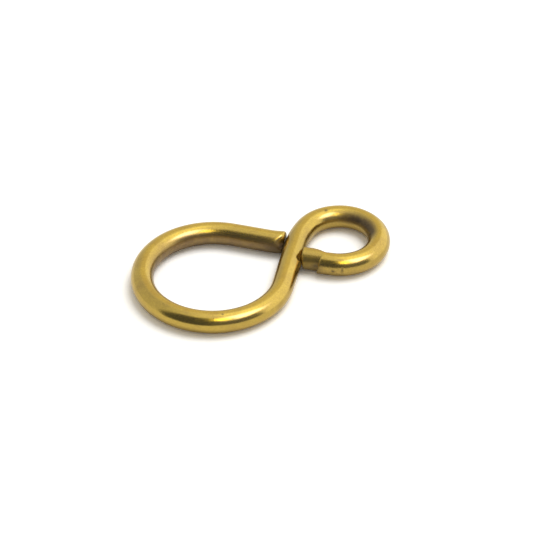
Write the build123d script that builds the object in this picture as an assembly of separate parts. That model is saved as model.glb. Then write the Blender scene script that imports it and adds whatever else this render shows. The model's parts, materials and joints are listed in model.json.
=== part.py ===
from build123d import *
import os
from math import acos, asin, cos, degrees, radians, sin, tan

# Closed S-hook, bent cold from one length of round brass wire: a large eye, a straight bar and a
# small eye that is bent the other way. Each end is cropped and closes its eye by butting on the bar.
# Millimetres. The hook lies flat, as it comes to rest, with +Z up. The origin is the bottom centre of
# the bounding box, and +X runs from the large eye's centre to the small eye's centre.

# ---- Driving dimensions ----
wire_diameter = 3.2
overall_length = 38.0  # over the outsides of both eyes
large_eye_inside = 16.5  # inside diameter
small_eye_inside = 7.7  # inside diameter
bar_lean = 1.7  # of the bar towards the tail, from the crossing tangent of the two eyes
gentle_radius = 12.0  # of the gentle bend from the bar into the small eye, to the wire's centreline

# Tail: the straight end that closes the large eye. The cropping jaws sprang its tip outwards.
tail_angle = 93.7  # between the tail and the bar, measured inside the large eye
tail_gap = 0.07  # from its cropped face, which lies along the bar, to the bar
tail_tip_length = 1.3
tail_tip_angle = 8.0  # how far the tip turns outwards
tail_tip_radius = 5.0  # of the bend behind the tip, to the wire's centreline
tail_rim_radius = 0.4  # rounding of the cropped face's edge

# Stub: the short end that closes the small eye. The closing jaws stepped its tip inwards.
stub_angle = 90.2  # between the stub and the bar, measured inside the small eye
stub_gap = 0.05  # along the stub, from its cropped face to the bar
stub_step = 0.55  # how far the tip stands in towards the eye's centre
stub_step_radius = 2.6  # of the two opposite bends that make the step, to the wire's centreline
stub_tip_length = 1.0  # straight length past the step
stub_crop_lean = 7.0  # the cropped face is this far out of square, its top nearer the bar
stub_rim_chamfer = 0.18  # the cropped face's broken edge

# Shoulder: the jaws' edge bit into the outside of the stub, and pinched the wire ahead of the bite.
shoulder_setback = 2.3  # from the stub's cropped face
shoulder_lean = 12.0  # the bite leans, and reaches nearer the stub's end at the bottom
shoulder_rim_chamfer = 0.12

# Nick: a scoop that the stub's corner has pressed into the bar.
nick_offset = 1.3  # from the stub's centreline, along the bar towards the large eye
nick_height_angle = 41.0  # up from the bar's side
nick_ball_radius = 1.4
nick_depth = 0.12

# ---- Derived sizes ----
wire_radius = wire_diameter / 2
large_radius = large_eye_inside / 2 + wire_radius  # to the wire's centreline, as all bends are
small_radius = small_eye_inside / 2 + wire_radius
centre_distance = overall_length - large_radius - small_radius - wire_diameter
large_centre = Vector(-overall_length / 2 + large_radius + wire_radius, 0, wire_radius)
small_centre = large_centre + Vector(centre_distance, 0, 0)

# The bar touches the large eye's centreline circle, and ends where the gentle bend takes over.
up = Vector(0, 0, 1)
bar_heading = degrees(asin((large_radius + small_radius) / centre_distance)) + bar_lean
bar_direction = Vector(1, 0, 0).rotate(Axis.Z, bar_heading)
tail_side = bar_direction.rotate(Axis.Z, 90)  # the bar's side that the tail meets
bar_start = large_centre - tail_side * large_radius
small_offset = centre_distance * sin(radians(bar_heading)) - large_radius  # small centre to bar
gentle_angle = degrees(acos((gentle_radius - small_offset) / (gentle_radius - small_radius)))
bar_length = centre_distance * cos(radians(bar_heading)) - (gentle_radius - small_radius) * sin(
    radians(gentle_angle)
)


# ---- Working the wire ----
def section(point, direction):
    """The wire's round section at a point of its centreline."""
    return Plane(origin=point, z_dir=direction) * Circle(wire_radius)


def straight(point, direction, length):
    """A straight run of wire, and the point where it ends."""
    return extrude(section(point, direction), amount=length), point + direction * length


def bend(point, direction, radius, angle):
    """A bend in the hook's plane, to the left if the angle is positive, with its end point and direction."""
    turn = 1 if angle > 0 else -1
    centre = point + direction.rotate(Axis.Z, 90 * turn) * radius
    bent = revolve(
        section(point, direction),
        axis=Axis(centre, (0, 0, turn)),
        revolution_arc=abs(angle),
    )
    return bent, centre + (point - centre).rotate(Axis.Z, angle), direction.rotate(Axis.Z, angle)


def across(direction):
    """The level axis through the origin, square to a run, that a cut through the run leans about."""
    return Axis((0, 0, 0), direction.cross(Vector(0, 0, 1)))


def cropped_rim(run, point, normal):
    """The rim that is left on a run cut off by the plane through a point."""
    kept = split(run, bisect_by=Plane(origin=point, z_dir=normal), keep=Keep.BOTTOM)
    return kept.faces().sort_by(Axis((0, 0, 0), normal))[-1].edges()


def closing_length(centre_offset, bend_radius, angle, gap):
    """Straight length from an eye's bend to the end that closes it, short of the bar by the gap."""
    bend_offset = centre_offset + bend_radius * cos(radians(angle))
    return (bend_offset - wire_radius - gap) / sin(radians(angle))


# ---- Large eye and its tail, bent backwards from the bar's start ----
large_eye, tail_start, tail_direction = bend(
    bar_start, -bar_direction, large_radius, -(180 + tail_angle)
)
tail_tip_bend_length = tail_tip_radius * radians(tail_tip_angle)
tail_straight_length = (
    closing_length(large_radius, large_radius, tail_angle, tail_gap)
    - tail_tip_bend_length
    - tail_tip_length
)
tail, tail_bend_start = straight(tail_start, tail_direction, tail_straight_length)
tail_bend, tail_tip_start, tail_tip_direction = bend(
    tail_bend_start, tail_direction, tail_tip_radius, tail_tip_angle
)
tail_tip_blank, _ = straight(tail_tip_start, tail_tip_direction, tail_tip_length + wire_diameter)
tail_rim = cropped_rim(
    tail_tip_blank, tail_tip_start + tail_tip_direction * tail_tip_length, -tail_side
)
tail_tip = fillet(tail_rim, radius=tail_rim_radius)

# ---- Bar ----
bar, bar_end = straight(bar_start, bar_direction, bar_length)

# ---- Small eye and its stub, bent on from the bar's end ----
gentle_bend, gentle_end, gentle_direction = bend(bar_end, bar_direction, gentle_radius, -gentle_angle)
small_eye, stub_start, stub_direction = bend(
    gentle_end, gentle_direction, small_radius, -(180 + stub_angle - gentle_angle)
)
stub_length = closing_length(small_offset, small_radius, stub_angle, stub_gap)
step_angle = degrees(acos(1 - stub_step / (2 * stub_step_radius)))
step_length = 2 * stub_step_radius * sin(radians(step_angle))
stub, step_start = straight(stub_start, stub_direction, stub_length - step_length - stub_tip_length)
step_in, step_middle, step_direction = bend(
    step_start, stub_direction, stub_step_radius, -step_angle
)
step_out, stub_tip_start, _ = bend(step_middle, step_direction, stub_step_radius, step_angle)
stub_tip_blank, _ = straight(stub_tip_start, stub_direction, stub_tip_length + wire_diameter)
stub_end = stub_tip_start + stub_direction * stub_tip_length
stub_rim = cropped_rim(
    stub_tip_blank, stub_end, stub_direction.rotate(across(stub_direction), -stub_crop_lean)
)
stub_tip = chamfer(stub_rim, length=stub_rim_chamfer)

# The shoulder is the unstepped wire, run on as far as the jaws' bite. Ahead of the bite the step is
# pinched flush with the tip's outside.
bite_point = stub_start + stub_direction * (stub_length - shoulder_setback)
bite_normal = stub_direction.rotate(across(stub_direction), shoulder_lean)
shoulder_blank, _ = straight(stub_start, stub_direction, stub_length)
shoulder = chamfer(
    cropped_rim(shoulder_blank, bite_point, bite_normal), length=shoulder_rim_chamfer
)
step = step_in + step_out
bite_plane = Plane(origin=bite_point, z_dir=bite_normal)
step_behind = split(step, bisect_by=bite_plane, keep=Keep.BOTTOM)
pinch_core, _ = straight(stub_tip_start, -stub_direction, shoulder_setback + wire_diameter)
step_ahead = split(step, bisect_by=bite_plane, keep=Keep.TOP) & pinch_core

# ---- Nick in the bar ----
nick_station = (stub_end - bar_start).dot(bar_direction) - nick_offset
nick_direction = up * sin(radians(nick_height_angle)) - tail_side * cos(radians(nick_height_angle))
nick_centre = (
    bar_start
    + bar_direction * nick_station
    + nick_direction * (wire_radius + nick_ball_radius - nick_depth)
)
bar = bar - Pos(nick_centre) * Sphere(nick_ball_radius)

# ---- One piece of wire ----
hook_wire = (
    tail_tip + tail_bend + tail + large_eye + bar + gentle_bend + small_eye
    + stub + step_behind + shoulder + step_ahead + stub_tip
)

os.makedirs("parts", exist_ok=True)
export_step(hook_wire, "parts/hook_wire.step")
print("hook_wire: solids", len(hook_wire.solids()), "volume", round(hook_wire.volume, 2), "mm3")
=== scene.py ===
# %% [markdown]
# # A closed brass S-hook
#
# An S-hook joins two things that were never made to meet: a chain and a ring, a lamp and a beam.
# This one is a single length of round brass wire. A large eye is bent one way, a small eye the
# other way, and a straight bar runs between them. Both ends have been closed down on the bar.
#
# The imported part already has the true size and the true bends. This script gives it the skin of
# real wire: a fine surface with its cropping and closing marks, a worn brass finish with some
# shade painted into it, and a small studio to stand in. Everything here is in metres and in the
# part's own frame, so nothing has to be fitted afterwards.

import json
import math

import bpy
import numpy as np
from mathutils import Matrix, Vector


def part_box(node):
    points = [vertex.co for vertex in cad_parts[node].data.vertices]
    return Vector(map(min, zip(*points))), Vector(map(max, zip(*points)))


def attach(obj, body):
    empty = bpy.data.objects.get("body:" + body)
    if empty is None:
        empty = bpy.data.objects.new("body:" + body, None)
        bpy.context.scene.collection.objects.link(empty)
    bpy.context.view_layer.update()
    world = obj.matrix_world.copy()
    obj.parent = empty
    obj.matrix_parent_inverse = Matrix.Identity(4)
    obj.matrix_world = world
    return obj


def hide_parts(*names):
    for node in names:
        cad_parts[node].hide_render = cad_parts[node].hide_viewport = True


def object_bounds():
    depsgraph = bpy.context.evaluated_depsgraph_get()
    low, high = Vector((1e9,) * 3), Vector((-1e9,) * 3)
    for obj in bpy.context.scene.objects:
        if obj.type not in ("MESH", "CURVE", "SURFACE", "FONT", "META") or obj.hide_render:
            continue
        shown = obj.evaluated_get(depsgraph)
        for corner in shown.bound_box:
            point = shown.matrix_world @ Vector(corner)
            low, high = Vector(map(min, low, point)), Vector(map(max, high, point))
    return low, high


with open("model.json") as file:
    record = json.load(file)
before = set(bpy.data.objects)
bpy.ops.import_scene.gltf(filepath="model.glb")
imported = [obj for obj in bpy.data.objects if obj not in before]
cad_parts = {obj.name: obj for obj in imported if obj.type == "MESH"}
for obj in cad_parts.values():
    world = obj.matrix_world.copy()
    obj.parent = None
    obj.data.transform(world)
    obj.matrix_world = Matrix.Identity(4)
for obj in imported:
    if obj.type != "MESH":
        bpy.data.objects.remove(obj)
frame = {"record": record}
cad_low, cad_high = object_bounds()
print("the part spans, in mm:", [round(1000 * side, 2) for side in cad_high - cad_low])

# %% [markdown]
# ## The sizes that the wire is bent to
#
# On a real hook everything follows from the wire and the two eyes. The outline could be traced
# point by point, but then no size would mean anything. The frame tells us most of what we need
# instead: the part is as thick as its wire, and each eye is a mount with its centre and its
# inside radius. From those come the bending radii and the bar, which is the straight line that
# touches both bending circles on opposite sides. Only the bar's slight lean, and the gentle bend
# that leads from it into the small eye, have to be named here.

# %% Eyes and bar, from the frame
MM = 0.001
up = np.array([0.0, 0.0, 1.0])

node_low, node_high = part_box("hook_wire")
wire_radius = (node_high.z - node_low.z) / 2
bar_lean = math.radians(1.7)
gentle_radius = 12.0 * MM
mounts = {mount["name"]: mount for mount in frame["record"]["mounts"]}
large_radius = mounts["large_eye"]["dims"]["r_mm"] * MM + wire_radius
small_radius = mounts["small_eye"]["dims"]["r_mm"] * MM + wire_radius
large_centre = np.array(mounts["large_eye"]["pos_m"])
small_centre = np.array(mounts["small_eye"]["pos_m"])

centre_distance = np.linalg.norm(small_centre - large_centre)
bar_heading = math.asin((large_radius + small_radius) / centre_distance) + bar_lean
bar_direction = np.array([math.cos(bar_heading), math.sin(bar_heading), 0.0])
tail_side = np.cross(up, bar_direction)
bar_start = large_centre - tail_side * large_radius
small_offset = centre_distance * math.sin(bar_heading) - large_radius
gentle_turn = math.acos((gentle_radius - small_offset) / (gentle_radius - small_radius))
bar_length = centre_distance * math.cos(bar_heading) - (
    (gentle_radius - small_radius) * math.sin(gentle_turn)
)
print("wire radius", round(wire_radius / MM, 3), "mm, bar", round(bar_length / MM, 2), "mm long")

# %% [markdown]
# ## The two ends
#
# The ends are what tell a hand-closed hook from a drawing of one. The tail closes the large eye.
# The cropping jaws sprang its tip outwards, and its face is cut at a slant, so that it lies along
# the bar. The stub closes the small eye, and the pliers that pushed it home stepped its tip
# inwards in a short double bend. No box and no mount says how, so these sizes are named here
# again, as they are on the part.

# %% Tail and stub
tail_angle = math.radians(93.7)
tail_gap = 0.07 * MM
tail_tip_length = 1.3 * MM
tail_tip_angle = math.radians(8.0)
tail_tip_radius = 5.0 * MM

stub_angle = math.radians(90.2)
stub_gap = 0.05 * MM
stub_step = 0.55 * MM
stub_step_radius = 2.6 * MM
stub_tip_length = 1.0 * MM


def closing_length(centre_offset, bend_radius, angle, gap):
    """Straight wire from an eye's bend to its end: the bend's distance from the bar's axis, less
    the bar's own radius and the gap, all measured along the slanted end."""
    bend_offset = centre_offset + bend_radius * math.cos(angle)
    return (bend_offset - wire_radius - gap) / math.sin(angle)


step_angle = math.acos(1 - stub_step / (2 * stub_step_radius))
step_reach = 2 * stub_step_radius * math.sin(step_angle)
tail_length = closing_length(large_radius, large_radius, tail_angle, tail_gap)
stub_length = closing_length(small_offset, small_radius, stub_angle, stub_gap)
print("straight ends, in mm: tail", round(tail_length / MM, 2), "stub", round(stub_length / MM, 2))

# %% [markdown]
# ## The wire as a list of runs
#
# A wire bender thinks in runs: so much straight, then so many degrees round this radius. A curve
# object drawn through a few points would only come near the true radii, so the runs themselves
# are the model. From the tail to the stub, each is a length, a turn (left is positive) and how
# far apart the rings of the mesh may lie. Where the ends need sharp detail, they lie closer.

# %% Runs from tail to stub
tail_bend_length = tail_tip_radius * tail_tip_angle
step_bend_length = stub_step_radius * step_angle
large_turn = math.pi + tail_angle
small_turn = math.pi + stub_angle - gentle_turn
runs = [
    # name, length, turn, spacing of the rings
    ("tail tip", tail_tip_length, 0.0, 0.05 * MM),
    ("tail bend", tail_bend_length, -tail_tip_angle, 0.07 * MM),
    ("tail", tail_length - tail_bend_length - tail_tip_length, 0.0, 0.11 * MM),
    ("large eye", large_radius * large_turn, large_turn, 0.11 * MM),
    ("bar", bar_length, 0.0, 0.08 * MM),
    ("gentle bend", gentle_radius * gentle_turn, -gentle_turn, 0.10 * MM),
    ("small eye", small_radius * small_turn, -small_turn, 0.10 * MM),
    ("stub", stub_length - step_reach - stub_tip_length, 0.0, 0.04 * MM),
    ("step in", step_bend_length, -step_angle, 0.03 * MM),
    ("step out", step_bend_length, step_angle, 0.03 * MM),
    ("stub tip", stub_tip_length, 0.0, 0.05 * MM),
]
run_names, lengths, turns, spacings = zip(*runs)
knots = np.cumsum((0.0,) + lengths)
begins = dict(zip(run_names, knots))
start_heading = bar_heading - large_turn + tail_tip_angle
headings = start_heading + np.cumsum((0.0,) + turns)
wire_length = knots[-1]
print("wire needed:", round(wire_length / MM, 1), "mm in", len(runs), "runs")

# %% [markdown]
# ## Where the rings stand
#
# The skin is a tube of rings, so the first choice is where they stand. Every run gets evenly
# spaced ones. A cropped face has a rounded rim, which a bevel could add later, but evenly spaced
# rings would cut its corner off. So each end also gets rings that crowd towards the face, spaced
# as the cosine of an angle, and the rim comes out as a true quarter circle.

# %% Stations of the rings
tail_rim = 0.3 * MM
stub_rim = 0.2 * MM


def rim_stations(rim, count=7):
    """Distances from the cropped face: rim times one minus the cosine of evenly spaced angles."""
    return rim * (1 - np.cos(np.linspace(0.0, math.pi / 2, count)))


def run_stations(index):
    """Evenly spaced stations along one run, both of its ends included."""
    count = math.ceil(lengths[index] / spacings[index]) + 1
    return np.linspace(knots[index], knots[index + 1], count)


even = np.unique(np.concatenate([run_stations(index) for index in range(len(runs))]))
inner = even[(even > tail_rim) & (even < wire_length - stub_rim)]
stub_end_stations = wire_length - rim_stations(stub_rim)[::-1]
stations = np.concatenate([rim_stations(tail_rim), inner, stub_end_stations])
print(len(stations), "rings along the wire")

# %% [markdown]
# ## Walking the centreline
#
# The centreline is what the bender's hands follow. It could be stepped along in a loop, but
# between two rings the wire turns evenly, so the straight line between them has an exact length
# and direction. Adding those little lines up gives every ring's centre at once.


# %% Centres and headings of the rings
def walk(stations):
    """Ring centres and headings.

    The heading changes evenly between knots. A chord is its step times sin(half turn) over the
    half turn, and it points along the mean of the headings at its ends. The centres are the
    running sum of the chords, moved so that the bar starts where the two circles say."""
    heading = np.interp(stations, knots, headings)
    step, turn = np.diff(stations), np.diff(heading)
    chord = step * np.sinc(turn / (2 * np.pi))
    mean = heading[:-1] + turn / 2
    moves = np.stack([chord * np.cos(mean), chord * np.sin(mean), 0 * mean], axis=1)
    centres = np.vstack([np.zeros(3), np.cumsum(moves, axis=0)])
    bar_ring = np.argmin(abs(stations - begins["bar"]))
    return centres + bar_start - centres[bar_ring], heading


centres, heading = walk(stations)
tangent = np.stack([np.cos(heading), np.sin(heading), 0 * heading], axis=1)

# The rings of the stepped stub stay square to the stub itself, so they never cross one another.
on_stub = stations > begins["stub"]
stub_heading = headings[run_names.index("stub")]
ring_heading = np.where(on_stub, stub_heading, heading)
forward = np.stack([np.cos(ring_heading), np.sin(ring_heading), 0 * heading], axis=1)
side = np.cross(up, forward)
print("the stub ends", np.round((centres[-1] - bar_start) / MM, 2), "mm from the bar's start")

# %% [markdown]
# ## Rings that lean
#
# The tail's face is slanted, the stub's face leans, and so does the bite that the pliers left. A
# cut that isn't square runs across square rings and comes out ragged. Cutting the mesh with a
# Boolean would give a clean edge but a tangle of thin faces beside it. So the rings lean with the
# cuts: near the tail's end they swing round with the face, and near the bite they tip with it. A
# lean of 0.25 moves a point 0.25 mm along for each millimetre off the axis.

# %% Lean of each ring
shoulder_setback = 2.3 * MM
shoulder_lean = math.radians(12.0)
stub_crop_lean = math.radians(7.0)
tail_face_turn = math.pi / 2 - (tail_angle - tail_tip_angle)
slanted_until = 0.2 * MM
upright_until = begins["stub"] - 1.5 * MM
crop_leans_from = wire_length - 0.6 * MM

from_stub_end = (centres[on_stub] - centres[-1]) @ forward[-1]
shoulder_station = np.interp(-shoulder_setback, from_stub_end, stations[on_stub])
lean_side = np.interp(stations, [slanted_until, tail_tip_length], [math.tan(tail_face_turn), 0])
lean_up = np.interp(
    stations,
    [upright_until, shoulder_station, crop_leans_from],
    [0, -math.tan(shoulder_lean), math.tan(stub_crop_lean)],
)
print("the bite is", round((wire_length - shoulder_station) / MM, 2), "mm of wire from the end")

# %% [markdown]
# ## Rays from the axis
#
# Each point of the skin lies on a ray that leaves the wire's axis. Angle 0 points to the left of
# the walk, which is inwards on the large eye and outwards on the small one, and 90 degrees is up.
# With both written as sines and cosines, all the rays are one array and need no loop.

# %% Rays
around = 80
angles = np.linspace(0, 2 * np.pi, around, endpoint=False)
outward = (
    np.cos(angles)[None, :, None] * side[:, None, :] + np.sin(angles)[None, :, None] * up
)
lean = lean_side[:, None] * np.cos(angles) + lean_up[:, None] * np.sin(angles)
rays = outward + lean[:, :, None] * forward[:, None, :]
print(rays.shape[0] * rays.shape[1], "rays, each one point of the skin")

# %% [markdown]
# ## How far each ray goes
#
# The skin is found the way a probe would find it: from the wire's axis, go out along a ray until
# the metal ends. A bevelled curve would be quicker for a plain tube, but it can't lean its rings
# or take a bite. For a plain run the metal ends at the wire's own wall, which is a cylinder. A
# scoop in the metal is a ball that the ray meets first.


# %% Probing a cylinder and a ball
def dot(a, b):
    """Dot products along the last axis, kept as a column."""
    return np.sum(a * b, axis=-1, keepdims=True)


def cylinder_reach(start, ray, axis_point, axis, radius):
    """How far along each ray a straight cylinder's wall lies.

    The ray and the line from the axis to its start are flattened onto the plane square to the
    axis. There |gap + t ray| = radius is a quadratic in t, and its larger root is the wall."""
    flat_ray = ray - dot(ray, axis) * axis
    gap = start - axis_point
    flat_gap = gap - dot(gap, axis) * axis
    a, b = dot(flat_ray, flat_ray), dot(flat_ray, flat_gap)
    c = dot(flat_gap, flat_gap) - radius**2
    return ((-b + np.sqrt(b**2 - a * c)) / a)[..., 0]


def ball_reach(start, ray, centre, radius):
    """How far along each ray a ball begins: the smaller root of |start + t ray - centre| =
    radius, or infinity where the ray misses the ball."""
    gap = start - centre
    a, b, c = dot(ray, ray), dot(ray, gap), dot(gap, gap) - radius**2
    inside = b**2 - a * c
    near = (-b - np.sqrt(np.maximum(inside, 0))) / a
    return np.where((inside > 0) & (near > 0), near, np.inf)[..., 0]


start = centres[:, None, :]
reach = cylinder_reach(start, rays, start, tangent[:, None, :], wire_radius)
print("against cylinders, in mm:", np.round([reach.min() / MM, reach.max() / MM], 3))


# %% [markdown]
# ## Rings that cross a bend
#
# The leaning rings of the stub cross its two bends, where no single cylinder will do. The exact
# answer is a torus, with an equation of the fourth degree. It is simpler to let each point walk
# out to the bent wire's wall in a dozen small corrections.


# %% Probing the bent wire
def tube_reach(start, ray, guess, rings, steps=12):
    """How far along each ray the bent wire's wall lies.

    Each step finds the nearest ring centre, measures the distance square to the wire there, and
    moves the point on by what it still lacks of the wire's radius."""
    axis, along_axis = centres[rings], tangent[rings]
    reach = guess.copy()
    for _ in range(steps):
        point = start + reach[..., None] * ray
        gaps = point[..., None, :] - axis
        nearest = np.argmin((gaps**2).sum(axis=-1), axis=-1)
        gap = point - axis[nearest]
        square = gap - dot(gap, along_axis[nearest]) * along_axis[nearest]
        reach += wire_radius - np.linalg.norm(square, axis=-1)
    return reach


leaning = stations > begins["stub"] - 2.0 * MM
reach[leaning] = tube_reach(start[leaning], rays[leaning], reach[leaning], leaning)
print("plain wall, in mm:", np.round([reach.min() / MM, reach.max() / MM], 3))

# %% [markdown]
# ## The pliers' shoulder
#
# The edge of the pliers bit across the outside of the stub and left a small shoulder. Ahead of it
# the wire is pinched flush with the stepped tip, and behind it the old, unstepped wire goes on.
# Two solids, joined and cut, would show the same. Here it takes one choice for each ray: behind
# the bite it goes on to whichever wall is further out, and ahead it stops at the tip's wall.

# %% Shoulder on the stub
shoulder_rim = 0.15 * MM
stub_direction, stub_side, stub_end = forward[-1], side[-1], centres[-1]
old_axis_point = stub_end + stub_side * stub_step
bite_point = old_axis_point - stub_direction * shoulder_setback
bite_normal = stub_direction * math.cos(shoulder_lean) + up * math.sin(shoulder_lean)


def rim_drop(distance, rim):
    """How far a rounded rim has fallen in at a distance from the face: rim minus the height of
    a circle of that radius."""
    inwards = np.clip(1 - distance / rim, 0, 1)
    return rim * (1 - np.sqrt(1 - inwards**2))


stub_start, stub_rays, bent_wall = start[on_stub], rays[on_stub], reach[on_stub]
old_wall = cylinder_reach(stub_start, stub_rays, old_axis_point, stub_direction, wire_radius)
tip_wall = cylinder_reach(stub_start, stub_rays, stub_end, stub_direction, wire_radius)
old_skin = stub_start + old_wall[..., None] * stub_rays
behind = -dot(old_skin - bite_point, bite_normal)[..., 0]
shoulder = np.where(behind > 0, old_wall - rim_drop(behind, shoulder_rim), 0)
pinched = np.where(behind > 0, bent_wall, np.minimum(bent_wall, tip_wall))
reach[on_stub] = np.maximum(pinched, shoulder)
print("the shoulder stands", round((reach[on_stub] - wire_radius).max() / MM, 2), "mm proud")

# %% [markdown]
# ## The flattened inner side
#
# The other jaw flattened the stub's inner side a little, most where it steps in. A plane could
# shave it, but soft brass gives way without an edge, so the dip is a bell curve along the wire
# that fades round it. Both helpers serve again for every soft mark below.


# %% Soft dips along and round the wire
def bell(distance, width):
    """1 at no distance, falling off as a bell curve of that width."""
    return np.exp(-((distance / width) ** 2))


def facing(degrees, sharpness):
    """How squarely each point round the wire faces an angle: the cosine of the turn between
    them, never under 0, to a power that narrows it."""
    return np.clip(np.cos(angles - np.radians(degrees)), 0, 1) ** sharpness


flat_station = wire_length - 1.6 * MM
flat_length = 1.9 * MM
flat_depth = 0.16 * MM
flattened = flat_depth * bell(stations - flat_station, flat_length)[:, None] * facing(180.0, 2)
reach = reach - flattened
print("flattened by up to", round(flattened.max() / MM, 2), "mm")

# %% [markdown]
# ## The nick in the bar
#
# The stub's corner was pushed into the bar hard enough to leave a small scoop. On the part it is
# a ball cut out of the bar, and a Boolean could repeat it, with a hard edge. Pressed metal has a
# soft one, so where a ray's two answers, wall and ball, lie close together, they are blended.

# %% Nick beside the stub
nick_offset = 1.3 * MM
nick_height = math.radians(41.0)
nick_ball = 1.4 * MM
nick_depth = 0.12 * MM
nick_softness = 0.10 * MM

nick_station = (stub_end - bar_start) @ bar_direction - nick_offset
nick_direction = up * math.sin(nick_height) - tail_side * math.cos(nick_height)
nick_centre = (
    bar_start
    + bar_direction * nick_station
    + nick_direction * (wire_radius + nick_ball - nick_depth)
)
on_bar = (stations > begins["bar"]) & (stations < begins["gentle bend"])
wall = reach[on_bar]
to_ball = ball_reach(start[on_bar], rays[on_bar], nick_centre, nick_ball)
to_ball = np.minimum(to_ball, wire_radius * 2)  # a ball that is missed counts as far out
blend = np.clip(0.5 + (wall - to_ball) / (2 * nick_softness), 0, 1)
nicked = wall + blend * (to_ball - wall) - nick_softness * blend * (1 - blend)
reach[on_bar] = nicked
print(int((nicked < wall).sum()), "points lie in the nick")

# %% [markdown]
# ## Waves in the wire
#
# Drawn wire isn't a perfect cylinder: bending leaves it a few thousandths out of round, in long
# slow waves that make its reflections wander. A noise texture could shake the points, but it
# would also roughen them. A few sines of different lengths, added together, stay smooth.

# %% Waves
waves = [
    # height in mm, length along the wire in mm, lobes round it, shift
    (0.0035, 1.9, 2, 0.0),
    (0.0030, 0.83, -3, 1.1),
    (0.0050, 4.7, 1, 0.4),
]
along = stations[:, None] / MM
wave = sum(
    height * np.sin(along / length + lobes * angles + shift)
    for height, length, lobes, shift in waves
)
reach = reach + (wave - wave.max()) * MM
print("waves of", round(np.ptp(wave) * 1000), "thousandths of a mm")

# %% [markdown]
# ## Pits and dents
#
# Knocking about in a drawer leaves pits, and the pliers have left two dents near the shoulder.
# Bump in the material could fake them, but they would be missing from the exported mesh, so each
# is a small bell-shaped dip at a station and an angle.

# %% Marks
bar_at, small_at = begins["bar"] / MM, begins["small eye"] / MM
marks = np.array([
    # station in mm, angle round the wire in degrees, its width along and around, its depth
    (bar_at - 12.1, 100.4, 0.13, 0.12, 0.030),
    (small_at + 3.6, 97.4, 0.24, 0.20, 0.030),
    (small_at + 22.6, 8.0, 0.10, 0.40, 0.040),
    (small_at + 23.6, 0.0, 0.18, 0.18, 0.040),
])
mark_station, mark_angle, mark_along, mark_around, mark_depth = marks.T[:, :, None, None]
turn_to_mark = (angles - np.radians(mark_angle) + np.pi) % (2 * np.pi) - np.pi
from_mark = np.hypot(
    (along - mark_station) / mark_along, turn_to_mark * wire_radius / MM / mark_around
)
marking = bell(from_mark, 1.0)
reach = reach - (mark_depth * marking).sum(axis=0) * MM
print(len(marks), "marks, the deepest", mark_depth.max(), "mm")

# %% [markdown]
# ## Wrinkles inside the small eye
#
# On the inside of a tight bend the wire's skin is squeezed, and it puckers in fine lines that run
# along the wire and wander a little. Noise stretched along the wire would pucker it everywhere.
# A sine round the wire, shifted by a slow sine along it, is kept to the squeezed side by the two
# helpers above.

# %% Wrinkles
wrinkle_depth = 0.003
wrinkle_lobes = 26
squeezed = bell(along - small_at - 4.0, 5.0) * facing(160.0, 3)
wander = 1.5 * np.sin(0.9 * along)
wrinkles = wrinkle_depth * np.sin(wrinkle_lobes * angles + wander) * squeezed
reach = reach + (wrinkles - wrinkles.max()) * MM
print("wrinkles of", round(np.ptp(wrinkles) * 1000), "thousandths of a mm")

# %% [markdown]
# ## Rounded rims and closed ends
#
# The cropping jaws leave a face with a broken edge. Its rim is a quarter circle, so the last
# rings shrink as that circle does, which needs no Bevel modifier. On the tail the rim grows wider
# towards one side, where the jaws pinched it. The face itself is a few smaller rings.

# %% Rims and faces
tail_pinch_rim = 1.5 * MM
tail_pinch_angle = math.radians(34.0)
tail_pinch_width = math.radians(38.0)
face_steps = np.array([0.97, 0.85, 0.65, 0.4, 0.15])[:, None, None]

pinch = bell(angles - tail_pinch_angle, tail_pinch_width)
tail_rims = tail_rim + (tail_pinch_rim - tail_rim) * pinch
reach = reach - rim_drop(stations[:, None], tail_rims)
reach = reach - rim_drop(wire_length - stations, stub_rim)[:, None]
skin = start + reach[..., None] * rays
tail_face = centres[0] + face_steps * (skin[0] - centres[0])
stub_face = centres[-1] + face_steps * (skin[-1] - centres[-1])
rings = np.concatenate([tail_face[::-1], skin, stub_face])
print(rings.shape[0], "rings of", rings.shape[1], "points")


# %% [markdown]
# ## From points to faces
#
# Neighbouring rings are stitched with four-sided faces by index arithmetic, and each end is
# closed by a fan of triangles round its middle point. One many-sided face could close an end,
# but it would shade badly and export as long slivers. The order of the corners makes every face
# look outwards.


# %% Stitching the rings
def stitched_faces(rows, columns):
    """Quads of a closed tube of rows by columns points, then the two fans. Point (i, j) is
    number i * columns + j, and the two middle points come last."""
    i, j = np.meshgrid(np.arange(rows - 1), np.arange(columns), indexing="ij")
    k = (j + 1) % columns
    corners = [i * columns + j, i * columns + k, (i + 1) * columns + k, (i + 1) * columns + j]
    quads = np.stack(corners, -1)
    first, last = rows * columns, rows * columns + 1
    edge = np.arange(columns)
    after = (edge + 1) % columns
    tail_fan = np.stack([0 * edge + first, after, edge], -1)
    base = (rows - 1) * columns
    stub_fan = np.stack([0 * edge + last, base + edge, base + after], -1)
    return quads.reshape(-1, 4), np.concatenate([tail_fan, stub_fan])


points = np.concatenate([rings.reshape(-1, 3), centres[[0, -1]]])
quads, triangles = stitched_faces(*rings.shape[:2])
print("triangles:", 2 * len(quads) + len(triangles))


# %% [markdown]
# ## From faces to a mesh
#
# Faces could be added to Blender one by one, but there are many thousands. foreach_set takes
# whole arrays: all corner numbers in one list, and where each face begins in it.


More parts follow.
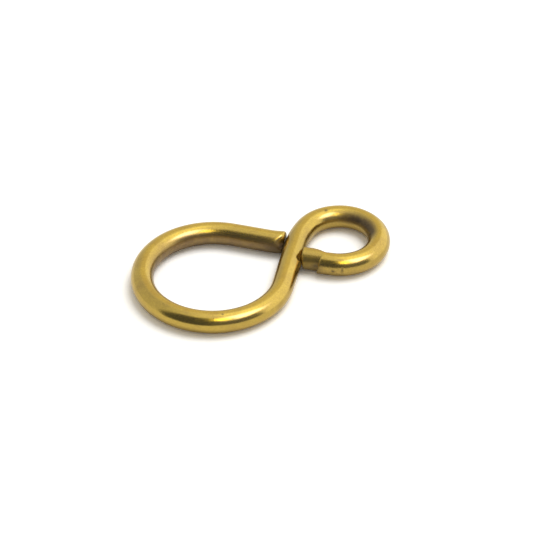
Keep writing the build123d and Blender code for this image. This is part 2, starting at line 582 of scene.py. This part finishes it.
# %% Build the mesh
def mesh_from(name, points, quads, triangles):
    """A smooth-shaded mesh from whole arrays, with foreach_set."""
    corners = np.concatenate([quads.ravel(), triangles.ravel()]).astype(np.int32)
    sizes = np.concatenate([np.full(len(quads), 4), np.full(len(triangles), 3)])
    mesh = bpy.data.meshes.new(name)
    mesh.vertices.add(len(points))
    mesh.vertices.foreach_set("co", points.astype(np.float32).ravel())
    mesh.loops.add(len(corners))
    mesh.loops.foreach_set("vertex_index", corners)
    mesh.polygons.add(len(sizes))
    mesh.polygons.foreach_set("loop_start", (np.cumsum(sizes) - sizes).astype(np.int32))
    mesh.polygons.foreach_set("use_smooth", np.ones(len(sizes), bool))
    mesh.update(calc_edges=True)
    mesh.validate()
    return mesh


def placed(name, data):
    """An object at the origin that shows this mesh, lamp or camera."""
    made = bpy.data.objects.new(name, data)
    bpy.context.scene.collection.objects.link(made)
    return made


wire_mesh = mesh_from("wire_skin", points, quads, triangles)
wire = placed("wire_skin", wire_mesh)
print(wire.name, "has", len(wire_mesh.polygons), "faces")

# %% [markdown]
# ## Where each point lay on the straight wire
#
# Drawing leaves its lines along the wire, and they were bent with it. Unwrapping the skin could
# carry them, but a simpler map is at hand: each point remembers where it lay before bending, as
# a place across the wire and a station along it. A material reads it as it reads coordinates.


# %% Store the straight wire
def store(mesh, name, kind, field, values):
    """Keeps one value for each point on the mesh, for an Attribute node to read."""
    layer = mesh.attributes.new(name, kind, "POINT")
    layer.data.foreach_set(field, values.astype(np.float32).ravel())


face_rings = (len(face_steps), len(face_steps))
ring_stations = np.pad(stations, face_rings, mode="edge")
ring_centres = np.pad(centres, (face_rings, (0, 0)), mode="edge")
radial = np.linalg.norm(rings - ring_centres[:, None], axis=2)
straight = np.stack(
    [
        radial * np.cos(angles),
        radial * np.sin(angles),
        np.broadcast_to(ring_stations[:, None], radial.shape),
    ],
    axis=-1,
)
middle_points = np.array([[0, 0, 0], [0, 0, wire_length]])
straight_points = np.concatenate([straight.reshape(-1, 3), middle_points])
store(wire_mesh, "straight_wire", "FLOAT_VECTOR", "vector", straight_points)
print("stored", len(straight_points), "places on the straight wire")

# %% [markdown]
# ## Where tarnish, painted shade and scuffs lie
#
# Brass browns where nothing rubs it: on the far inner wall of the large eye, from the tail round
# to the left, and inside the small eye. Both places are painted darker for shade as well: the far
# wall's low side for the shadowed paper that it mirrors, the small eye's hollow for the dark card
# that it mirrors and the shade in it. The pliers left the stub a little browner, and they dragged
# over its lowest outside, which is duller. Such places could be painted by hand, but then they
# wouldn't follow a changed bend. Stations and angles do, and the skin has both.

# %% Tarnished, shaded and scuffed places
tarnish_to = begins["large eye"] + 17.5 * MM
tarnish_fade = 7 * MM
fading = np.interp(ring_stations, [tarnish_to, tarnish_to + tarnish_fade], [1, 0])[:, None]
# The far wall's low inner side: real tarnish, and painted shade for the shadowed paper it mirrors.
unrubbed_and_shaded = fading * facing(-14.0, 1.8)

# How far the small eye hides a place, and the angle that its hollow side has there.
into_eye = ring_stations / MM - small_at
small_inside = np.interp(into_eye, [0.0, 5.0, 8.0, 14.0, 16.0], [0, 0.4, 1, 1, 0])[:, None]
hollow_turn = np.interp(into_eye, [4.0, 12.5], [158.0, 132.0])[:, None]
# The hollow: speckled tarnish, and a painted reflection of the dark card with painted shade.
hollow_tarnish_and_shade = small_inside * facing(hollow_turn, 8)

shoulder_edge = [shoulder_station, shoulder_station + 0.1 * MM]
held = np.interp(ring_stations, shoulder_edge, [0, 1])[:, None]
dragged = bell(ring_stations - shoulder_station + 1.5 * MM, 4.0 * MM)[:, None] * facing(-5.0, 3)
not_held = (ring_stations < shoulder_station)[:, None]

# The tarnish layer mixes real brown tarnish with painted shade on the far wall and in the hollow.
tarnish_and_shade = 1.2 * unrubbed_and_shaded + 0.8 * hollow_tarnish_and_shade + 0.12 * held + 0.4 * dragged * not_held
scuffed = dragged + 0.8 * hollow_tarnish_and_shade + 0.35 * unrubbed_and_shaded
print("tarnish covers", round(100 * np.clip(tarnish_and_shade, 0, 1).mean()), "percent of the skin")

# %% [markdown]
# ## Where grime and painted shade collect
#
# Painted shade darkens the wire low down where the ends meet the bar and in the corner under the
# shoulder, where little light reaches, and the small eye's hollow takes its painted shade here
# too.
# Real dirt fills the pits. Ambient occlusion could find such corners, but it changes with what
# stands nearby. Three bells round known places don't, and they keep to the wire's lower side.

# %% Grime and painted shade
shoulder_corner = bite_point + stub_side * wire_radius * 0.7 + stub_direction * 0.3 * MM
# Painted shade: three dark spots where the ends meet the bar and under the shoulder.
shade_spots = [
    # place, strength, width
    (centres[0], 1.0, 3.0 * MM),
    (centres[-1], 0.65, 2.3 * MM),
    (shoulder_corner, 0.6, 0.9 * MM),
]
low_down = np.clip(1.1 - np.sin(angles), 0, 1)
shade_in_corners = low_down * sum(
    strength * bell(np.linalg.norm(rings - spot, axis=2), width)
    for spot, strength, width in shade_spots
)
in_pits = np.pad(marking.sum(axis=0), (face_rings, (0, 0)))
# Painted shade in the corners and the hollow, real dirt in the pits, a little on the held stub.
grime_and_shade = shade_in_corners + in_pits + hollow_tarnish_and_shade + 0.15 * held * facing(40.0, 2)
for name, values in (("grime_and_shade", grime_and_shade), ("tarnish_and_shade", tarnish_and_shade), ("scuffed", scuffed)):
    with_middles = np.concatenate([np.clip(values, 0, 1).ravel(), [0, 0]])
    store(wire_mesh, name, "FLOAT", "value", with_middles)
print("stored:", [layer.name for layer in wire_mesh.attributes if layer.domain == "POINT"])

# %% [markdown]
# ## Worn brass
#
# Handled brass is a deep olive gold, not the yellow of a new door knob. A flat colour with one
# roughness would look like plastic, and a painted image would have to be unwrapped onto the wire.
# So the finish is built up in thin layers of noise and stored values, as wear builds it up, and
# some of those layers also carry painted shade. Nodes take many lines to write, so first come a
# few short words for them.


# %% Words for nodes
def plug(tree, node, inputs):
    """Fills a node's sockets, by name or number, with values or other nodes' outputs."""
    for key, value in inputs.items():
        if isinstance(value, bpy.types.NodeSocket):
            tree.links.new(value, node.inputs[key])
        else:
            node.inputs[key].default_value = value


def add(tree, kind, inputs, **settings):
    """A node of that kind with its sockets filled. Settings are the node's own properties."""
    node = tree.nodes.new("ShaderNode" + kind)
    for key, value in settings.items():
        setattr(node, key, value)
    plug(tree, node, inputs)
    return node


def new_material(name, surface, output_name):
    """An empty material with its output and one shader of the kind surface, already joined."""
    material = bpy.data.materials.new(name)
    material.use_nodes = True
    tree = material.node_tree
    tree.nodes.clear()
    output = tree.nodes.new("ShaderNodeOutputMaterial")
    shader = tree.nodes.new("ShaderNode" + surface)
    tree.links.new(shader.outputs[output_name], output.inputs["Surface"])
    return material, tree, shader


brass, tree, shader = new_material("worn_brass_with_painted_shade", "BsdfPrincipled", "BSDF")
print(brass.name, "starts with", len(tree.nodes), "nodes")


# %% [markdown]
# The same few kinds of node come again and again: noise, arithmetic, a change of range, a mix of
# two colours, and a value read from the mesh. Each could be set up where it is used. With a word
# of its own that gives back the output, a layer of the finish reads as one line.


# %% Words for layers
def noise(tree, place, scale, detail):
    """Cloudy noise from 0 to 1. Scale is about how many clouds fit in a metre."""
    inputs = {"Vector": place, "Scale": scale, "Detail": detail}
    return add(tree, "TexNoise", inputs).outputs["Fac"]


def maths(tree, operation, *values, **settings):
    """One step of arithmetic. MULTIPLY_ADD is the first value times the second, plus the third."""
    node = add(tree, "Math", dict(enumerate(values)), operation=operation, **settings)
    return node.outputs["Value"]


def ranged(tree, value, from_low, from_high, to_low, to_high):
    """A value carried from one range to another, and held at the ends."""
    inputs = {"Value": value, "From Min": from_low, "From Max": from_high}
    inputs.update({"To Min": to_low, "To Max": to_high})
    return add(tree, "MapRange", inputs).outputs["Result"]


def mixed(tree, amount, first, second, **settings):
    """A colour between two: the first at amount 0, the second at 1."""
    inputs = {"Factor": amount, "A": first, "B": second}
    return add(tree, "Mix", inputs, data_type="RGBA", **settings).outputs["Result"]


def stored(tree, name, output="Fac"):
    """What store() has kept on the mesh under that name."""
    return add(tree, "Attribute", {}, attribute_name=name).outputs[output]


place = add(tree, "TexCoord", {}).outputs["Object"]
straight_place = stored(tree, "straight_wire", "Vector")
print("two coordinates to work with:", place.name, "and", straight_place.node.attribute_name)

# %% [markdown]
# ## The colour of the metal
#
# Clean brass has a faint brown bloom in clouds of a few millimetres. Over it lies the tarnish,
# and over that the grime; both layers also carry painted shade where their masks say so. Both are
# patchy, because neither is even on a real hook, and the same noise makes them so. Mixing from
# the cleanest layer to the dirtiest lets each hide what is under it.

# %% Bloom, tarnish, grime and painted shade
olive_gold = (0.56, 0.390, 0.080, 1)
brown_bloom = (0.38, 0.245, 0.075, 1)
# Brown of tarnish, also used as painted shade on the far wall and in the small eye.
tarnish_and_shade_brown = (0.25, 0.165, 0.075, 1)
# Near black of dirt, also used as painted shade at the ends and under the shoulder.
grime_and_shade_brown = (0.085, 0.060, 0.030, 1)

bloom = ranged(tree, noise(tree, place, 420.0, 4.0), 0.45, 0.8, 0.0, 0.6)
patchy = maths(tree, "MULTIPLY_ADD", noise(tree, place, 900.0, 3.0), 0.8, 0.5)
dull_and_shaded = stored(tree, "tarnish_and_shade")
tarnished_and_shaded = maths(tree, "MULTIPLY", dull_and_shaded, patchy, use_clamp=True)
dirt_and_shade = maths(tree, "MULTIPLY", stored(tree, "grime_and_shade"), patchy, use_clamp=True)

clean = mixed(tree, bloom, olive_gold, brown_bloom)
browned_and_shaded = mixed(tree, tarnished_and_shaded, clean, tarnish_and_shade_brown)
dirtied_and_shaded = mixed(tree, dirt_and_shade, browned_and_shaded, grime_and_shade_brown)
print("three layers of colour over", olive_gold[:3])

# %% [markdown]
# ## Speckle
#
# Seen close, the skin is full of specks a third of a millimetre across, and more so where it was
# scuffed. A mix with a second colour would shift the hue, so they multiply the colour by a little
# over or under 1 instead. Dirt isn't metal, so the grime layer, with its painted shade, also takes
# away a part of the metal's shine.

# %% Speckle and shine
grain = noise(tree, place, 3500.0, 2.0)
rubbed = stored(tree, "scuffed")
speckling = maths(tree, "MULTIPLY_ADD", rubbed, 0.4, 0.35)
centred = maths(tree, "SUBTRACT", grain, 0.5)
speckle = maths(tree, "MULTIPLY_ADD", centred, speckling, 1.0)
speckled = mixed(tree, 1.0, dirtied_and_shaded, speckle, blend_type="MULTIPLY")
metal = maths(tree, "MULTIPLY_ADD", dirt_and_shade, -0.3, 1.0)
plug(tree, shader, {"Base Color": speckled, "Metallic": metal})
print("fed by nodes:", [socket.name for socket in shader.inputs if socket.is_linked])

# %% [markdown]
# ## Drawing lines, and what a fingertip feels
#
# Drawing has left hair-fine lines along the wire. Anisotropic gloss would blur the highlights
# along them but show no line. So they are noise on the straight wire, squeezed across it and
# drawn out along it, and they change both the roughness and the bump. Tarnish and grime, with the
# shade painted in them, are rougher than clean metal. The specks stand up a little, and scuffed
# ones more so. A thin coat stands for the film that hands leave.

# %% Roughness and bump
grain_height = 0.000012
line_height = 0.000005
drawn_out = {"Vector": straight_place, "Scale": (9000, 9000, 350)}
lines = noise(tree, add(tree, "Mapping", drawn_out).outputs["Vector"], 1.0, 3.0)
rough = ranged(tree, lines, 0.0, 1.0, 0.15, 0.25)
dulled = maths(tree, "MULTIPLY_ADD", dull_and_shaded, 0.18, rough)
duller = maths(tree, "MULTIPLY_ADD", dirt_and_shade, 0.3, dulled)

coarser = maths(tree, "MULTIPLY_ADD", rubbed, 1.3, 1.0)
height = maths(tree, "MULTIPLY", grain, coarser)
grainy = add(tree, "Bump", {"Height": height, "Distance": grain_height, "Strength": 0.5})
lined = {"Height": lines, "Distance": line_height, "Strength": 0.5}
bump = add(tree, "Bump", {**lined, "Normal": grainy.outputs["Normal"]})
plug(tree, shader, {"Roughness": duller, "Normal": bump.outputs["Normal"]})
plug(tree, shader, {"Coat Weight": 0.15, "Coat Roughness": 0.12})
print("brass:", len(tree.nodes), "nodes")

# %% [markdown]
# ## The skin takes the part's place
#
# The skin rides on the hook's only body, wears the brass, and is shown instead of the packed
# part's own mesh. Wearing it over that mesh would show both where they nearly touch.

# %% Put the finish on
wire_mesh.materials.append(brass)
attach(wire, "root")
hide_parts("hook_wire")
print(wire.name, "is finished in", brass.name)

# %% [markdown]
# ## The camera
#
# The camera looks down on the hook from its near left. A short lens close by could show the same
# edges, but it would swell the near wire. A long lens from well back keeps the eyes nearly round.

# %% Camera
camera_azimuth, camera_elevation = -24.75, 38.80
camera_distance = 0.6421
sensor_width, focal_length = 36, 307.9
aim = (cad_low + cad_high) / 2 + Vector((0.27 * MM, -1.92 * MM, 0.005 * MM))


def toward(azimuth, elevation):
    """A unit vector that points from the hook to a place in the studio. Azimuth 0 is towards
    -Y and 90 towards +X, and elevation is above the floor, both in degrees."""
    a, e = np.radians(azimuth), np.radians(elevation)
    return np.stack([np.sin(a) * np.cos(e), -np.cos(a) * np.cos(e), np.sin(e)], axis=-1)


back = Vector(toward(camera_azimuth, camera_elevation))
camera_data = bpy.data.cameras.new("camera")
camera_data.sensor_width = sensor_width
camera_data.lens = focal_length
camera_data.clip_start, camera_data.clip_end = 0.01, 20
camera = placed("camera", camera_data)
camera.location = aim + back * camera_distance
camera.rotation_mode = "QUATERNION"
camera.rotation_quaternion = (-back).to_track_quat("-Z", "Y")
bpy.context.scene.camera = camera
print("the camera stands", round(camera_distance, 2), "m off, with a", focal_length, "mm lens")

# %% [markdown]
# ## The floor
#
# The hook lies on white paper. More lamps would whiten it too, but they would also bleach the
# brass. So the lamps stay at a plain level, at which a colour looks about as it is written, and
# the paper is made whiter than white for the camera alone. It still keeps the hook's shadow.

# %% Floor
half_floor = 2.0
camera_white = (1.3, 1.3, 1.3, 1)
camera_lift = 0.02

corners = half_floor * np.array([(-1, -1, 0), (1, -1, 0), (1, 1, 0), (-1, 1, 0)])
floor_mesh = bpy.data.meshes.new("floor")
floor_mesh.from_pydata(corners.tolist(), [], [(0, 1, 2, 3)])
floor = placed("floor", floor_mesh)

paper, tree, shader = new_material("white_paper", "BsdfPrincipled", "BSDF")
camera_ray = add(tree, "LightPath", {}).outputs["Is Camera Ray"]
white = mixed(tree, camera_ray, (1.0, 1.0, 1.0, 1), camera_white)
lift = maths(tree, "MULTIPLY", camera_ray, camera_lift)
plug(tree, shader, {"Base Color": white, "Emission Strength": lift})
plug(tree, shader, {"Roughness": 1.0, "Specular IOR Level": 0.0, "Emission Color": (1, 1, 1, 1)})
floor_mesh.materials.append(paper)
print("the floor is", 2 * half_floor, "m wide")

# %% [markdown]
# ## The world
#
# The world is the soft light of a white room. Walls and a ceiling could be built, but one colour
# all round does as well for so small a thing. Matt surfaces get half of their light from it, a
# little warm, and whatever sees or mirrors it directly finds plain white.

# %% World
world_light = 0.51
room_colour = (1.0, 0.975, 0.91, 1)

world = bpy.data.worlds.new("studio")
bpy.context.scene.world = world
world.use_nodes = True
tree = world.node_tree
ray = add(tree, "LightPath", {}).outputs
seen = maths(tree, "MAXIMUM", ray["Is Camera Ray"], ray["Is Glossy Ray"])
seen = maths(tree, "MAXIMUM", seen, ray["Is Transmission Ray"])
level = ranged(tree, seen, 0.0, 1.0, world_light, 1.0)
fill = mixed(tree, seen, room_colour, (1.0, 1.0, 1.0, 1))
plug(tree, tree.nodes["Background"], {"Strength": level, "Color": fill})
print("the world lights matt surfaces at", world_light)

# %% [markdown]
# ## The lamp
#
# One square lamp, high behind the hook and to its right, gives the other half of the light and
# the soft shadow on the paper. A smaller one would draw the shadow's edge too hard. The metal
# doesn't see it: what the brass mirrors is the tent below, which can be shaped panel by panel.


# %% Lamp
def area_lamp(name, azimuth, elevation, distance, size, power):
    """A square area lamp that faces the hook, placed by its azimuth from the camera."""
    data = bpy.data.lights.new(name, "AREA")
    data.shape = "SQUARE"
    data.size = size
    data.energy = power
    lamp = placed(name, data)
    direction = Vector(toward(camera_azimuth + azimuth, elevation))
    lamp.location = direction * distance
    lamp.rotation_mode = "QUATERNION"
    lamp.rotation_quaternion = direction.to_track_quat("Z", "Y")
    lamp.visible_glossy = False
    lamp.visible_camera = False
    return lamp


key = area_lamp("key", azimuth=122, elevation=67, distance=1.2, size=0.9, power=8.4)
print(key.name, "lamp:", round(key.data.energy, 1), "W, across", round(key.data.size, 2), "m")

# %% [markdown]
# ## The light tent
#
# Metal is mostly a picture of what stands round it, so the studio is half of the finish. A small
# shiny thing is lit inside a tent, with bright panels and dark cards hung in it. Lamps and planes
# could stand for them, but their edges would be hard. Here the tent is one dome, and each panel
# is painted on it with soft edges, the later ones over the earlier. Azimuths count from the
# camera, to its right.

# %% Panels of the tent
panels = [
    # name, azimuth from, to, elevation from, to, soft edge, colour
    ("back wall", 140, 225, -20, 48, 20, (0.96, 0.90, 0.65)),
    ("left wall", -165, -76, -20, 72, 30, (0.73, 0.74, 0.75)),
    ("right wall", 72, 158, -20, 60, 12, (1.4, 1.4, 1.4)),
    ("top band", 25, 180, 58, 80, 12, (1.80, 1.80, 1.40)),
    ("half shade", -77, 5, 20, 76, 9, (0.45, 0.45, 0.42)),
    ("deep shade", -73, 5, 10, 71, 8, (0.24, 0.24, 0.25)),
    ("dark card", -67, 5, 0, 65, 6, (0.11, 0.12, 0.16)),
    ("low dark card", 0, 66, 2, 39, 8, (0.20, 0.21, 0.28)),
    ("warm lamp", 1, 27, 48, 71, 7, (4.2, 3.9, 1.3)),
    ("softbox", 38, 92, 46, 76, 18, (4.6, 4.4, 7.2)),
]
base_glow = (1.15, 1.15, 1.15)
tent_around, tent_rows = 240, 90
azimuths = np.linspace(-180, 180, tent_around, endpoint=False)
elevations = np.linspace(-2, 90, tent_rows)
azimuth_grid, elevation_grid = np.meshgrid(azimuths, elevations, indexing="xy")


def window(value, low, high, soft):
    """1 between low and high and 0 outside, with a smooth slope of width soft on each edge."""
    rise = np.clip((value - low) / soft + 0.5, 0, 1)
    fall = np.clip((high - value) / soft + 0.5, 0, 1)
    return (rise**2 * (3 - 2 * rise)) * (fall**2 * (3 - 2 * fall))


glow = np.broadcast_to(np.array(base_glow), azimuth_grid.shape + (3,)).copy()
for _, left, right, bottom, top, soft, colour in panels:
    middle = (left + right) / 2
    turned = (azimuth_grid - middle + 180) % 360 - 180
    across = window(turned, left - middle, right - middle, soft)
    cover = across * window(elevation_grid, bottom, top, soft)
    glow += cover[..., None] * (np.array(colour) - glow)
print(len(panels), "panels, glowing from", glow.min().round(2), "to", glow.max().round(2))

# %% [markdown]
# ## Hanging the tent
#
# The dome is a grid of azimuths and elevations, closed round its seam, with its faces turned
# inwards, and its glow is stored on its points. A world texture could hold the same panels, but
# then they would light the paper too. The camera, the paper and the shadows look straight through
# the dome, so it changes nothing but what the metal mirrors.

# %% Tent
tent_radius = 0.9
tent_points = tent_radius * toward(camera_azimuth + azimuth_grid, elevation_grid)
outward_quads, _ = stitched_faces(tent_rows, tent_around)
inward_quads = outward_quads[:, [0, 3, 2, 1]]
no_triangles = np.zeros((0, 3), int)
tent_mesh = mesh_from("light_tent", tent_points.reshape(-1, 3), inward_quads, no_triangles)
glow_rgba = np.concatenate([glow, np.ones(glow.shape[:2] + (1,))], axis=-1)
store(tent_mesh, "glow", "FLOAT_COLOR", "color", glow_rgba)
tent = placed("light_tent", tent_mesh)
for kind in ("camera", "diffuse", "transmission", "volume_scatter", "shadow"):
    setattr(tent, "visible_" + kind, False)

cloth, tree, shader = new_material("tent_cloth", "Emission", "Emission")
plug(tree, shader, {"Color": stored(tree, "glow", "Color"), "Strength": 1.0})
cloth.cycles.emission_sampling = "NONE"
tent_mesh.materials.append(cloth)
print("the tent has", len(tent_mesh.polygons), "faces")

# %% [markdown]
# ## Finish
#
# Colours are shown as they are. The dressed part may not outgrow the imported one.

# %% View
bpy.context.scene.view_settings.view_transform = "Standard"
